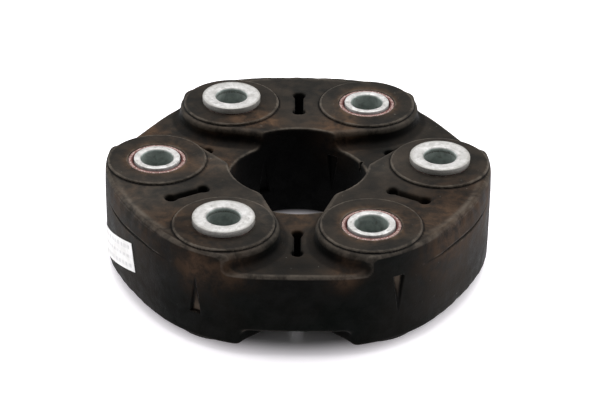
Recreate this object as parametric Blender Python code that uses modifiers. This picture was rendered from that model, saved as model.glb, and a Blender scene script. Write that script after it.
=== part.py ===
"""Flexible disc coupling for a propeller shaft, in metres, +Z along the shaft.

The origin is the coupling's centre. Six steel sleeves stand on one pitch
circle. The three at 0, 120 and 240 degrees take the driving flange's bolts and
have their collars on top. The three between them take the driven flange's
bolts and have their collars underneath. Wound cord loops tie each sleeve to
its neighbours: two stacked loops in each thick link, which pulls when driving,
and one loop in each thin link, which pulls on the overrun. A single rubber
moulding holds everything together. Turned half over about any link's middle,
the coupling looks the same.
"""

import math

import bmesh
import bpy
from mathutils import Matrix, Vector

MM = 0.001

# Pitch circle and links
PITCH_R = 52.5 * MM
DRIVING_ANGLES = (0, 120, 240)
DRIVEN_ANGLES = (60, 180, 300)
BUSH_ANGLES = DRIVING_ANGLES + DRIVEN_ANGLES
THICK_LINK_ANGLES = (90, 210, 330)
THIN_LINK_ANGLES = (30, 150, 270)
LINK_MIDDLE_R = PITCH_R * math.cos(math.radians(30))
BODIES = (
    "driven_bushes",
    "coast_cords",
    "disc_body",
    "drive_cords",
    "driving_bushes",
)

# Rubber moulding
HOLE_R = 26.0 * MM
WALL_MEAN_R = 71.2 * MM
WALL_WAVE = 0.6 * MM
WALL_STEPS = 72
THIN_APOTHEM = 69.0 * MM
THICK_HALF = 17.4 * MM
THIN_HALF = 11.8 * MM
PAD_HALF = 19.1 * MM
PAD_R = 18.5 * MM
PAD_STEPS = 36
SHOULDER_MIN = 0.3 * MM
SHOULDER_MAX = 1.2 * MM
# Heights up the shoulder, each with its share of the shoulder's lean
SHOULDER = ((9.4 * MM, 0.0), (13.5 * MM, 0.25), (16.2 * MM, 0.6), (THICK_HALF, 1.0))

# Recess over each thin link: it follows a circle round each neighbouring bush,
# then a line that runs out beside the bush's own radius
RECESS_R = 19.9 * MM
RECESS_SIDE = 14.8 * MM
RECESS_FILLET = 2.4 * MM
RECESS_HEIGHT = 14.0 * MM
RECESS_BACK = (21.0 * MM, -4.0 * MM)
RECESS_REACH = 80.0 * MM
RECESS_STEPS = 6

# Slots, dumbbell shaped, one through the middle of each link
SLOT_CENTRE = 46.0 * MM
SLOT_LENGTH = 16.8 * MM
SLOT_WIDTH = 2.4 * MM
SLOT_END_R = 2.1 * MM
SLOT_STEPS = 6

# Wedge notches in the outer wall and in the centre hole
NOTCH_HIGH = 8.2 * MM
NOTCH_LOW = -4.0 * MM
NOTCH_WIDE = 1.9 * MM
NOTCH_NARROW = 0.4 * MM

# Steel sleeves
BORE_R = 6.0 * MM
SLEEVE_END_R = 8.6 * MM
BARREL_R = 9.8 * MM
SLEEVE_HALF = 19.6 * MM
BARREL_HALF = 15.0 * MM
COLLAR_R = 11.2 * MM
COLLAR_TOP = 21.8 * MM
COLLAR_UNDER = 19.4 * MM
CHAMFER = 0.5 * MM
SLEEVE_STEPS = 28

# Guide discs on the sleeves
DISC_R = 15.6 * MM
INNER_DISC_LOW = 6.9 * MM
INNER_DISC_HIGH = 8.0 * MM
OUTER_DISC_LOW = 15.6 * MM
OUTER_DISC_HIGH = 16.8 * MM
DISC_NECK_R = 10.2 * MM
DISC_NECK_HIGH = 18.8 * MM
DISC_STEPS = 18

# Cord loops
CORD_INNER_R = 10.1 * MM
CORD_OUTER_R = 14.8 * MM
DRIVE_CORD_LOW = 8.6 * MM
DRIVE_CORD_HIGH = 15.0 * MM
COAST_CORD_HALF = 6.3 * MM
CORD_STEPS = 8

# Clearance between pieces that touch, and how far one room runs into the next
GAP = 0.3 * MM
OVERLAP = 0.1 * MM
THROUGH = 25.0 * MM

# Paper label on the wall
LABEL_LENGTH = 38.0 * MM
LABEL_HEIGHT = 12.0 * MM
LABEL_THICK = 0.25 * MM
LABEL_ANGLE = 198.5
LABEL_Z = -4.6 * MM
LABEL_TILT = 14.0


def clear_scene():
    for obj in list(bpy.data.objects):
        bpy.data.objects.remove(obj, do_unlink=True)


def new_collection(name, parent=None):
    made = bpy.data.collections.new(name)
    (parent or bpy.context.scene.collection).children.link(made)
    return made


def new_material(name, colour, roughness, metallic):
    material = bpy.data.materials.new(name)
    material.use_nodes = True
    material.diffuse_color = (*colour, 1.0)
    shader = material.node_tree.nodes["Principled BSDF"]
    shader.inputs["Base Color"].default_value = (*colour, 1.0)
    shader.inputs["Roughness"].default_value = roughness
    shader.inputs["Metallic"].default_value = metallic
    return material


def add_object(name, data, collection, placing=None, material=None, parent=None):
    obj = bpy.data.objects.new(name, data)
    collection.objects.link(obj)
    obj.parent = parent
    obj.matrix_world = placing or Matrix.Identity(4)
    if material and not data.materials:
        data.materials.append(material)
    return obj


def turn(degrees):
    return Matrix.Rotation(math.radians(degrees), 4, "Z")


def half_over():
    return Matrix.Rotation(math.pi, 4, "X")


def at_link(degrees, under=False):
    return turn(degrees) @ half_over() if under else turn(degrees)


def at_bush(degrees, under=False):
    standing = turn(degrees) @ Matrix.Translation((PITCH_R, 0, 0))
    return standing @ half_over() if under else standing


def profile_mesh(name, profile):
    """A closed (radius, z) outline at +X for a Screw modifier."""
    count = len(profile)
    corners = [(r, 0.0, z) for r, z in profile]
    mesh = bpy.data.meshes.new(name)
    mesh.from_pydata(corners, [(i, (i + 1) % count) for i in range(count)], [])
    return mesh


def add_turning(obj, steps):
    screw = obj.modifiers.new("turned", "SCREW")
    screw.steps = steps
    screw.render_steps = steps
    screw.use_merge_vertices = True
    screw.merge_threshold = 1e-6
    screw.use_smooth_shade = True


def outline_curve(name, outlines, half_height, rounding=0.0):
    """A flat plate with these plan outlines. An outline inside another is a hole."""
    curve = bpy.data.curves.new(name, "CURVE")
    curve.dimensions = "2D"
    curve.fill_mode = "BOTH"
    curve.extrude = half_height - rounding
    curve.bevel_depth = rounding
    curve.bevel_resolution = 2 if rounding else 0
    curve.offset = -rounding
    for points in outlines:
        spline = curve.splines.new("POLY")
        spline.points.add(len(points) - 1)
        for point, (x, y) in zip(spline.points, points, strict=True):
            point.co = (x, y, 0, 1)
        spline.use_cyclic_u = True
    return curve


def welded_mesh(curve):
    """The curve as one closed mesh, so that it can cut."""
    holder = bpy.data.objects.new(curve.name, curve)
    bpy.context.scene.collection.objects.link(holder)
    graph = bpy.context.evaluated_depsgraph_get()
    mesh = bpy.data.meshes.new_from_object(holder.evaluated_get(graph))
    bpy.data.objects.remove(holder)
    bm = bmesh.new()
    bm.from_mesh(mesh)
    bmesh.ops.remove_doubles(bm, verts=bm.verts, dist=1e-6)
    bmesh.ops.recalc_face_normals(bm, faces=bm.faces)
    bm.to_mesh(mesh)
    bm.free()
    return mesh


def cone_mesh(name, low_radius, high_radius, half_height, steps):
    bm = bmesh.new()
    bmesh.ops.create_cone(
        bm,
        cap_ends=True,
        segments=steps,
        radius1=low_radius,
        radius2=high_radius,
        depth=2 * half_height,
    )
    mesh = bpy.data.meshes.new(name)
    bm.to_mesh(mesh)
    bm.free()
    return mesh


def arc(centre, radius, start, end, steps):
    """Points along an arc, both ends included."""
    angles = (start + (end - start) * i / steps for i in range(steps + 1))
    return [centre + radius * Vector((math.cos(a), math.sin(a))) for a in angles]


def from_thin_link(degrees):
    """Signed angle from the nearest thin link's middle, -60 to 60 degrees."""
    return (degrees - THIN_LINK_ANGLES[0] + 60) % 120 - 60


def bush_wave(degrees):
    """1 on a bush's radius and -1 on a link's middle."""
    return math.cos(math.radians(6 * degrees))


def wall_radius(degrees):
    """The wall is nearly round, with a flat chord across each thin link."""
    chord = THIN_APOTHEM / math.cos(math.radians(from_thin_link(degrees)))
    return min(WALL_MEAN_R + WALL_WAVE * bush_wave(degrees), chord)


def shoulder_depth(degrees):
    """How far in the wall leans by the top face. It leans most on a thick link."""
    if abs(from_thin_link(degrees)) <= 30:
        return SHOULDER_MIN
    share = 0.5 - 0.5 * bush_wave(degrees)
    return SHOULDER_MIN + (SHOULDER_MAX - SHOULDER_MIN) * share


def blank_mesh():
    """The moulding before pads, recesses and holes: a loft from level to level."""
    levels = [(-z, lean) for z, lean in reversed(SHOULDER)] + list(SHOULDER)
    bm = bmesh.new()
    rings = []
    for z, lean in levels:
        ring = []
        for step in range(WALL_STEPS):
            degrees = 360 * step / WALL_STEPS
            radius = wall_radius(degrees) - lean * shoulder_depth(degrees)
            ring.append(bm.verts.new(turn(degrees) @ Vector((radius, 0, z))))
        rings.append(ring)
    for below, above in zip(rings, rings[1:], strict=False):
        for i in range(WALL_STEPS):
            j = (i + 1) % WALL_STEPS
            bm.faces.new((below[i], below[j], above[j], above[i]))
    bm.faces.new(list(reversed(rings[0])))
    bm.faces.new(rings[-1])
    mesh = bpy.data.meshes.new("rubber_disc")
    bm.to_mesh(mesh)
    bm.free()
    return mesh


def recess_mesh():
    """Clears one thin link above its top face, in a plan mirrored about +X."""
    nose = Vector((HOLE_R, 0))
    bush = Vector((PITCH_R, 0))
    touch = math.pi - math.acos(RECESS_R / (bush - nose).length)
    leave = math.asin(RECESS_SIDE / RECESS_R)
    side = [Vector(RECESS_BACK), nose]
    side += arc(bush, RECESS_R, touch, leave, RECESS_STEPS)
    side.append(Vector((RECESS_REACH, RECESS_SIDE)))
    to_link = Matrix.Rotation(math.radians(-30), 2)
    side = [to_link @ point for point in side]
    mirrored = [Vector((point.x, -point.y)) for point in reversed(side)]
    curve = outline_curve(
        "recess", [side + mirrored], RECESS_HEIGHT / 2, RECESS_FILLET
    )
    mesh = welded_mesh(curve)
    mesh.transform(Matrix.Translation((0, 0, THIN_HALF + RECESS_HEIGHT / 2)))
    return mesh


def slot_mesh():
    """A slot along +X with round swollen ends."""
    reach = SLOT_LENGTH / 2 - SLOT_END_R
    neck = math.asin(SLOT_WIDTH / 2 / SLOT_END_R)
    far = Vector((SLOT_CENTRE + reach, 0))
    near = Vector((SLOT_CENTRE - reach, 0))
    outline = arc(far, SLOT_END_R, neck - math.pi, math.pi - neck, SLOT_STEPS)
    outline += arc(near, SLOT_END_R, neck, math.tau - neck, SLOT_STEPS)
    return welded_mesh(outline_curve("slot", [outline], THROUGH))


def notch_mesh(radius):
    """A wedge centred on a wall of this radius, widest and deepest on top."""
    mesh = cone_mesh(
        "notch",
        NOTCH_NARROW * math.sqrt(2),
        NOTCH_WIDE * math.sqrt(2),
        (NOTCH_HIGH - NOTCH_LOW) / 2,
        4,
    )
    middle = (NOTCH_HIGH + NOTCH_LOW) / 2
    mesh.transform(Matrix.Translation((radius, 0, middle)) @ turn(45))
    return mesh


def stadium(radius):
    """Plan outline round the two bushes beside a link at +X."""
    half = PITCH_R / 2
    outline = arc(Vector((LINK_MIDDLE_R, half)), radius, 0, math.pi, CORD_STEPS)
    outline += arc(
        Vector((LINK_MIDDLE_R, -half)), radius, math.pi, math.tau, CORD_STEPS
    )
    return outline


def loop_curve(name, low, high, clearance=0.0):
    """A racetrack band, centred on z = 0, for a link at +X."""
    outlines = [stadium(CORD_OUTER_R + clearance), stadium(CORD_INNER_R - clearance)]
    return outline_curve(name, outlines, (high - low) / 2)


def room_profile():
    """What one sleeve and its guide discs need inside the rubber, from the top."""
    hole = BARREL_R + GAP
    disc = DISC_R + GAP
    upper = [
        (DISC_NECK_R + GAP, THROUGH),
        (DISC_NECK_R + GAP, OUTER_DISC_HIGH + GAP),
        (disc, OUTER_DISC_HIGH + GAP),
        (disc, OUTER_DISC_LOW - GAP),
        (hole, OUTER_DISC_LOW - GAP),
        (hole, INNER_DISC_HIGH + GAP),
        (disc, INNER_DISC_HIGH + GAP),
        (disc, INNER_DISC_LOW - GAP),
        (hole, INNER_DISC_LOW - GAP),
    ]
    lower = [(r, -z) for r, z in reversed(upper)]
    return [(0.0, THROUGH), *upper, *lower, (0.0, -THROUGH)]


def room_mesh():
    """The solid that room_profile sweeps out. It is closed on its own axis."""
    bm = bmesh.new()
    corners = [bm.verts.new((r, 0, z)) for r, z in room_profile()]
    for a, b in zip(corners, corners[1:], strict=False):
        bm.edges.new((a, b))
    mesh = bpy.data.meshes.new("bush_room")
    bm.to_mesh(mesh)
    bm.free()
    return mesh


def add_boolean(target, operands, operation):
    modifier = target.modifiers.new(operands.name, "BOOLEAN")
    modifier.operand_type = "COLLECTION"
    modifier.collection = operands
    modifier.operation = operation
    modifier.solver = "EXACT"


def add_cutters(cutters, name, mesh, placings):
    """A collection of cutters that share one mesh."""
    group = new_collection(name, cutters)
    made = [
        add_object(f"{name}_{number}", mesh, group, placing)
        for number, placing in enumerate(placings, start=1)
    ]
    for cutter in made:
        cutter.hide_render = True
        cutter.display_type = "WIRE"
    return group, made


def make_rubber(parts, cutters, body, material):
    rubber = add_object("rubber_disc", blank_mesh(), parts, None, material, body)
    links = THICK_LINK_ANGLES + THIN_LINK_ANGLES
    sides = (False, True)
    bushes = [at_bush(degrees) for degrees in BUSH_ANGLES]

    recesses = [at_link(a, under) for a in THIN_LINK_ANGLES for under in sides]
    group, _ = add_cutters(cutters, "recesses", recess_mesh(), recesses)
    add_boolean(rubber, group, "DIFFERENCE")

    pad = cone_mesh("pad", PAD_R, PAD_R, PAD_HALF, PAD_STEPS)
    group, _ = add_cutters(cutters, "pads", pad, bushes)
    add_boolean(rubber, group, "UNION")

    hole = cone_mesh("centre_hole", HOLE_R, HOLE_R, THROUGH, WALL_STEPS)
    group, _ = add_cutters(cutters, "centre_hole", hole, [Matrix.Identity(4)])
    add_boolean(rubber, group, "DIFFERENCE")

    slots = [turn(degrees) for degrees in links]
    group, _ = add_cutters(cutters, "slots", slot_mesh(), slots)
    add_boolean(rubber, group, "DIFFERENCE")

    spare = GAP + OVERLAP
    drive = welded_mesh(
        loop_curve("drive", DRIVE_CORD_LOW - spare, DRIVE_CORD_HIGH + spare, GAP)
    )
    drive.transform(
        Matrix.Translation((0, 0, (DRIVE_CORD_LOW + DRIVE_CORD_HIGH) / 2))
    )
    rooms = [at_link(a, under) for a in THICK_LINK_ANGLES for under in sides]
    group, _ = add_cutters(cutters, "drive_cord_rooms", drive, rooms)
    add_boolean(rubber, group, "DIFFERENCE")

    reach = COAST_CORD_HALF + spare
    coast = welded_mesh(loop_curve("coast", -reach, reach, GAP))
    rooms = [turn(degrees) for degrees in THIN_LINK_ANGLES]
    group, _ = add_cutters(cutters, "coast_cord_rooms", coast, rooms)
    add_boolean(rubber, group, "DIFFERENCE")

    group, made = add_cutters(cutters, "bush_rooms", room_mesh(), bushes)
    for cutter in made:
        add_turning(cutter, DISC_STEPS)
    add_boolean(rubber, group, "DIFFERENCE")

    notches = [at_link(a) for a in DRIVEN_ANGLES]
    notches += [at_link(a, True) for a in DRIVING_ANGLES]
    walls = (("wall_notches", WALL_MEAN_R + WALL_WAVE), ("hole_notches", HOLE_R))
    for name, radius in walls:
        group, _ = add_cutters(cutters, name, notch_mesh(radius), notches)
        add_boolean(rubber, group, "DIFFERENCE")


def sleeve_profile():
    """A bush sleeve with its collar on top, down its outer side and up its bore."""
    c = CHAMFER
    return [
        (BORE_R + c, COLLAR_TOP),
        (COLLAR_R - c, COLLAR_TOP),
        (COLLAR_R, COLLAR_TOP - c),
        (COLLAR_R, COLLAR_UNDER),
        (SLEEVE_END_R, COLLAR_UNDER),
        (SLEEVE_END_R, BARREL_HALF),
        (BARREL_R, BARREL_HALF),
        (BARREL_R, -BARREL_HALF),
        (SLEEVE_END_R, -BARREL_HALF),
        (SLEEVE_END_R, -SLEEVE_HALF + c),
        (SLEEVE_END_R - c, -SLEEVE_HALF),
        (BORE_R + c, -SLEEVE_HALF),
        (BORE_R, -SLEEVE_HALF + c),
        (BORE_R, COLLAR_TOP - c),
    ]


def outer_disc_profile():
    """The guide disc near a sleeve's end, whose neck shows at the pad."""
    bore = SLEEVE_END_R + GAP
    return [
        (bore, DISC_NECK_HIGH),
        (DISC_NECK_R, DISC_NECK_HIGH),
        (DISC_NECK_R, OUTER_DISC_HIGH),
        (DISC_R, OUTER_DISC_HIGH),
        (DISC_R, OUTER_DISC_LOW),
        (bore, OUTER_DISC_LOW),
    ]


def inner_disc_profile():
    """The flat guide disc between two cord loops."""
    bore = BARREL_R + GAP
    return [
        (bore, INNER_DISC_HIGH),
        (DISC_R, INNER_DISC_HIGH),
        (DISC_R, INNER_DISC_LOW),
        (bore, INNER_DISC_LOW),
    ]


def make_bushes(parts, bodies, steel, rusty):
    sleeve = profile_mesh("bush_sleeve", sleeve_profile())
    discs = {
        "outer_disc": profile_mesh("outer_disc", outer_disc_profile()),
        "inner_disc": profile_mesh("inner_disc", inner_disc_profile()),
    }
    groups = (("driving", DRIVING_ANGLES, False), ("driven", DRIVEN_ANGLES, True))
    for side, angles, collar_under in groups:
        body = bodies[f"{side}_bushes"]
        for number, degrees in enumerate(angles, start=1):
            tag = f"{side}_{number}"
            standing = at_bush(degrees, collar_under)
            obj = add_object(f"bush_sleeve_{tag}", sleeve, parts, standing, steel, body)
            add_turning(obj, SLEEVE_STEPS)
            for kind, mesh in discs.items():
                for end, under in (("top", False), ("bottom", True)):
                    name = f"{kind}_{end}_{tag}"
                    standing = at_bush(degrees, under)
                    obj = add_object(name, mesh, parts, standing, rusty, body)
                    add_turning(obj, DISC_STEPS)


def make_cords(parts, bodies, cord):
    drive = loop_curve("drive_cord", DRIVE_CORD_LOW, DRIVE_CORD_HIGH)
    lift = Matrix.Translation((0, 0, (DRIVE_CORD_LOW + DRIVE_CORD_HIGH) / 2))
    for number, degrees in enumerate(THICK_LINK_ANGLES, start=1):
        for end, under in (("top", False), ("bottom", True)):
            name = f"drive_cord_{end}_{number}"
            placing = at_link(degrees, under) @ lift
            add_object(name, drive, parts, placing, cord, bodies["drive_cords"])
    coast = loop_curve("coast_cord", -COAST_CORD_HALF, COAST_CORD_HALF)
    for number, degrees in enumerate(THIN_LINK_ANGLES, start=1):
        name = f"coast_cord_{number}"
        add_object(name, coast, parts, at_link(degrees), cord, bodies["coast_cords"])


def make_label(parts, body, paper):
    """A thin sheet wrapped round the wall, tilted in its own plane."""
    bm = bmesh.new()
    bmesh.ops.create_grid(bm, x_segments=12, y_segments=3, size=0.5)
    tilt = Matrix.Rotation(math.radians(LABEL_TILT), 2)
    radius = WALL_MEAN_R + WALL_WAVE + GAP
    for vert in bm.verts:
        flat = tilt @ Vector((LABEL_LENGTH * vert.co.x, LABEL_HEIGHT * vert.co.y))
        around = turn(LABEL_ANGLE + math.degrees(flat.x / radius))
        vert.co = around @ Vector((radius, 0, LABEL_Z + flat.y))
    mesh = bpy.data.meshes.new("blank_label")
    bm.to_mesh(mesh)
    bm.free()
    mesh.shade_smooth()
    label = add_object("blank_label", mesh, parts, None, paper, body)
    sheet = label.modifiers.new("sheet", "SOLIDIFY")
    sheet.thickness = LABEL_THICK
    sheet.offset = 1


def make_bodies(parts):
    """An empty for each moving body, at the centre where all the joints' axes meet."""
    return {name: add_object(name, None, parts) for name in BODIES}


def main():
    clear_scene()
    parts = new_collection("Flexible disc coupling")
    cutters = new_collection("Cutters")
    bodies = make_bodies(parts)
    rubber = new_material("black_rubber", (0.035, 0.030, 0.027), 0.75, 0.0)
    steel = new_material("zinc_plated_steel", (0.78, 0.79, 0.79), 0.45, 0.7)
    rusty = new_material("rusty_sheet_steel", (0.42, 0.20, 0.14), 0.8, 0.3)
    cord = new_material("wound_cord", (0.55, 0.50, 0.40), 0.9, 0.0)
    paper = new_material("label_paper", (0.88, 0.88, 0.86), 0.7, 0.0)
    make_rubber(parts, cutters, bodies["disc_body"], rubber)
    make_bushes(parts, bodies, steel, rusty)
    make_cords(parts, bodies, cord)
    make_label(parts, bodies["disc_body"], paper)


main()
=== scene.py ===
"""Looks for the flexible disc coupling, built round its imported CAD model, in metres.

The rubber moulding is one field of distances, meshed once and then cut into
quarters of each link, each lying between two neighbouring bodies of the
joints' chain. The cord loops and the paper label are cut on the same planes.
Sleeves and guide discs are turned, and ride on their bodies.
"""

import math

import bpy
import numpy as np
import openvdb
from mathutils import Matrix, Vector


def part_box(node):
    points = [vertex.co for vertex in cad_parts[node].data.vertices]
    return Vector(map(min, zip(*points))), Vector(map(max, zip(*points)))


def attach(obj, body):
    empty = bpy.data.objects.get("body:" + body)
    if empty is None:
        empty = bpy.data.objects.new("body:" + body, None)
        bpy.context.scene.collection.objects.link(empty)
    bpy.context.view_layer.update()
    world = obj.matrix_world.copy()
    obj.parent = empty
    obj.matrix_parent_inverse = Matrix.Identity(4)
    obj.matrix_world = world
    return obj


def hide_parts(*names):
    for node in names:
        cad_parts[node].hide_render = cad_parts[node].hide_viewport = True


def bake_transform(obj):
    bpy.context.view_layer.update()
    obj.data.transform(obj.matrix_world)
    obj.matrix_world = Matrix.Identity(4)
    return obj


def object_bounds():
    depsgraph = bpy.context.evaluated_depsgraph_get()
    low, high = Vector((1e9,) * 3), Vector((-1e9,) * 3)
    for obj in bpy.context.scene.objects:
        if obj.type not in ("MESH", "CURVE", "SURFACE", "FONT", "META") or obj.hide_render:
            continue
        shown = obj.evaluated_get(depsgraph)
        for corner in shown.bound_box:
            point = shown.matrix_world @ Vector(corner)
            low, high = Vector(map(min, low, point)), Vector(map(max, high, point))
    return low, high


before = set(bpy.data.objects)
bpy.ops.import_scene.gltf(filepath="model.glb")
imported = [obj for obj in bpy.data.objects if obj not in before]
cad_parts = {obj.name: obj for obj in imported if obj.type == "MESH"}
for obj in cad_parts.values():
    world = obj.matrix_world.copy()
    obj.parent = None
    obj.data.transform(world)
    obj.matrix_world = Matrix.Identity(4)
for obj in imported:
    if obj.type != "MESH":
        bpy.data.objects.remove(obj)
cad_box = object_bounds()

MM = 0.001

# What the CAD model gives
SLEEVE_LOW, SLEEVE_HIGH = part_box("bush_sleeve_driving_1")
PITCH_R = (SLEEVE_LOW.x + SLEEVE_HIGH.x) / 2
COLLAR_R = (SLEEVE_HIGH.x - SLEEVE_LOW.x) / 2
COLLAR_TOP = SLEEVE_HIGH.z
SLEEVE_HALF = -SLEEVE_LOW.z
PAD_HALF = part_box("rubber_disc")[1].z
DISC_LOW, DISC_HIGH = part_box("outer_disc_top_driving_1")
DISC_R = (DISC_HIGH.x - DISC_LOW.x) / 2
DISC_NECK_HIGH = DISC_HIGH.z
OUTER_DISC_LOW = DISC_LOW.z
DRIVE_CORD_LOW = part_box("drive_cord_top_1")[0].z
DRIVE_CORD_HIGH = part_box("drive_cord_top_1")[1].z
COAST_CORD_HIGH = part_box("coast_cord_1")[1].z
FLOOR_Z = cad_box[0].z

# Links and bushes, by angle round the coupling
THICK_LINKS = (90, 210, 330)
THIN_LINKS = (30, 150, 270)
DRIVING = (0, 120, 240)
DRIVEN = (60, 180, 300)
LINK_STEP = 60
HALF_STEP = LINK_STEP / 2
LINK_HALF = math.radians(HALF_STEP)
LINK_MIDDLE_R = PITCH_R * math.cos(LINK_HALF)

# Moulding
HOLE_R = 26.0 * MM
WALL_R = 71.2 * MM
WALL_WAVE = 0.6 * MM
THIN_APOTHEM = 69.3 * MM
CHORD_BLEND = 2.0 * MM
THICK_HALF = 18.1 * MM
THIN_HALF = 11.6 * MM
PAD_R = 18.35 * MM
PAD_EDGE = 0.6 * MM
PAD_FILLET = 0.12 * MM
SHOULDER_MIN = 0.3 * MM
SHOULDER_MAX = 2.2 * MM
SHOULDER_Z = np.array((9.4, 13.5, 16.5, 18.1)) * MM
SHOULDER_LEAN = (0.0, 0.25, 0.6, 1.0)
SHOULDER_UNDER = 0.6
RIPPLE = 0.14 * MM
RIPPLE_WAVES = (31, 74)
WALL_EDGE = 1.3 * MM
WALL_EDGE_THICK = 1.0 * MM
WALL_EDGE_UNDER = 1.2 * MM
RECESS_R = 19.9 * MM
RECESS_SIDE_TOP = 11.0 * MM
RECESS_SIDE_UNDER = 16.6 * MM
RECESS_BLEND = 4.0 * MM
RECESS_EDGE = 2.0 * MM
RECESS_FILLET = 3.2 * MM
HOLE_EDGE = 0.9 * MM
OPENING_R = 10.8 * MM
OPENING_EDGE = 0.4 * MM
SLOT_CENTRE = 46.5 * MM
SLOT_LENGTH = 17.4 * MM
SLOT_WIDTH = 2.0 * MM
SLOT_END_R = 2.0 * MM
SLOT_BLEND = 1.0 * MM
SLOT_EDGE = 1.1 * MM
SLOT_EXTRA = 0.8 * MM
CREASE_Z = 9.4 * MM
CREASE_R = 0.6 * MM
CREASE_EDGE = 0.2 * MM
CREASE_WANDER = 0.25 * MM
CREASE_WAVES = 17
NOTCH_HIGH = 8.2 * MM
NOTCH_LOW = -3.6 * MM
NOTCH_WIDE = 2.2 * MM
NOTCH_NARROW = 0.5 * MM
NOTCH_DEEP = 0.7
NOTCH_EDGE = 0.2 * MM
NICK_ANGLE = 26.5
NICK_HALF = 0.5 * MM
NICK_DEPTH = 1.2 * MM
NICK_LOW = 8.0 * MM

# Bushes and guide discs
TURN_STEPS = 96
BORE_R = 6.0 * MM
SLEEVE_END_R = 8.6 * MM
BARREL_R = 9.8 * MM
BARREL_HALF = 15.0 * MM
COLLAR_UNDER = 19.4 * MM
NECK_R = 10.65 * MM
FLANGE_TOP = 16.8 * MM
DISC_BORE = 9.05 * MM
TOP_CHAMFER = 0.7 * MM
END_CHAMFER = 0.5 * MM
END_CHAMFER_HIGH = 0.6 * MM
BORE_SPARE = 0.2 * MM
SLEEVE_ROUND = 0.35 * MM
DISC_ROUND = 0.25 * MM
CORNER_STEPS = 3
CORNER_SHARE = 1 / 2.2

# Where each look on them goes from none to all, or back
FOOT_SHADE_LOW = COLLAR_UNDER + 0.4 * MM
FOOT_SHADE_HIGH = COLLAR_UNDER + 1.6 * MM
ZINC_SIDE_SHADE_R = (COLLAR_R - 1.4 * MM, COLLAR_R - 0.1 * MM)
DARK_RUST_R = (DISC_BORE + 0.35 * MM, DISC_BORE + 0.8 * MM)

# Wound cord loops
CORD_INNER_R = 10.1 * MM
CORD_OUTER_R = 14.8 * MM
CORD_CORNER = 1.2 * MM
CORD_ARC_STEPS = 24
CORD_SNAP = 0.05 * MM
CORD_SHARP = math.radians(50)

# Label
LABEL_LENGTH = 38.0 * MM
LABEL_HEIGHT = 11.4 * MM
LABEL_THICK = 0.15 * MM
LABEL_OFF = 0.1 * MM
LABEL_ANGLE = 198.5
LABEL_Z = -6.0 * MM
LABEL_TILT = math.radians(17)
LABEL_LEAN = math.radians(12)
LABEL_STEPS = (96, 30)
LABEL_SNAP = 0.05 * MM
LABEL_SHARP = math.radians(40)

# Plain dashes on the label, as shares of it: rows in its height, half a row's
# thickness, waves along it that leave the gaps, and half of what they cover
MARK_ROWS = 3.2
MARK_FILL = 0.2
MARK_WAVES = (190, 71)
MARK_SHIFT = 9
MARK_GAP = -0.2
MARK_SIZE = (0.44, 0.4)

# Rubbed edges with a painted highlight, and hollows with painted shade, by how
# sharply the surface bends, per metre
WEAR_AND_HIGHLIGHT_BEND = (160, 960)
HOLLOW_SHADE_BEND = (0, 500)

# A face is level, or faces the hole, between these shares of its normal
LEVEL = (0.25, 0.75)
FACES_HOLE = (0.6, 0.95)

# Painted shade in the mould line grows with the link's thickness and fades past its radius
CREASE_SHADE = (0.1875, 0.8125)
CREASE_FADE = (1.4, 0.4)

# Dust in a notch, as shares of its depth, half width and length
NOTCH_DUST_DEPTH = 0.25
NOTCH_DUST_WIDTH = 0.8
NOTCH_DUST_RISE = (0, 1 / 1.2)

# The ridge on the thick links' top outer edge, rubbed light and given a painted highlight
RIDGE_R = 67.6 * MM
RIDGE_SPREAD = 1.0 * MM
RIDGE_DEPTH = 2.0 * MM

# How far past each feature its edges stay plain, with no wear and no painted highlight
NOTCH_PLAIN = 1.0 * MM
NOTCH_PLAIN_RISE = 1.1
NOTCH_SPARE = 0.6 * MM
SLOT_PLAIN = 2.0 * MM
HOLE_PLAIN = 2.0 * MM
UNDER_PLAIN = 3.0 * MM

# Soft round spots on the rubber: (angle, radius, height) in degrees and mm, then
# spread in mm and strength. First, where the walls carry dust
WALL_DUST = (
    ((330, 71, 0), 26, 0.75),
    ((205, 71, 2), 24, 0.6),
    ((90, 71, 0), 30, 0.5),
    ((30, 69, 0), 22, 0.4),
    ((330, 46.5, 14), 8, 0.9),
)

# Where the hole's wall gets less painted shade, and so is lighter
HOLE_LIGHTER = (
    ((15, 26, 10), 18, 0.8),
    ((165, 26, 10), 9, 0.3),
)

# Rust and clay stains
STAINS = (
    ((240, 66, 12), 9, 0.8),
    ((252, 69, 12), 6, 0.45),
    ((266, 31, 12), 8, 0.7),
    ((284, 68, 12), 5, 0.7),
    ((124, 38, 19), 6, 0.7),
    ((113, 33, 18), 6, 1.0),
    ((152, 45, 12), 12, 0.5),
    ((152, 66, 12), 9, 0.9),
    ((160, 27, 12), 6, 0.9),
    ((186, 35, 17), 7, 0.5),
    ((320, 66, 14), 12, 0.5),
    ((345, 68, 12), 10, 0.5),
    ((330, 60, 17), 14, 0.35),
    ((62, 30, 15), 9, 0.7),
    ((222, 62, 17), 9, 0.5),
    ((200, 66, 16), 7, 0.5),
    ((118, 47, 19), 6, 0.5),
    ((62, 34, 17), 5, 0.5),
    ((214, 70, 15), 8, 0.35),
)

# Lighter and darker patches, and how far they may change the rubber
TONES = (
    ((232, 64, 19), 13, -0.55),
    ((246, 40, 19), 12, 0.85),
    ((203, 65, 17), 14, 1.0),
    ((337, 61, 17), 12, -0.6),
    ((268, 63, 11.6), 14, -0.45),
    ((126, 44, 19), 13, -0.5),
    ((72, 44, 19), 12, 0.3),
    ((142, 58, 11.6), 14, 0.35),
    ((317, 54, 19), 7, -0.15),
    ((182, 31, 18), 6, 1.5),
    ((353, 30, 18), 6, 0.5),
    ((1, 38, 19), 8, 0.5),
    ((38, 35, 11.6), 8, -0.5),
)
TONE_LIMITS = (0.4, 2.0)

# The hole's wall stays dark, and dust on walls starts beyond this radius
HOLE_WALL_DEPTH = 1.5 * MM
DUST_FROM_R = 36.0 * MM

# The brown halo round each flush sleeve end
STAIN_HALO = 2.0 * MM
STAIN_HALO_STRENGTH = 0.8

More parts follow.
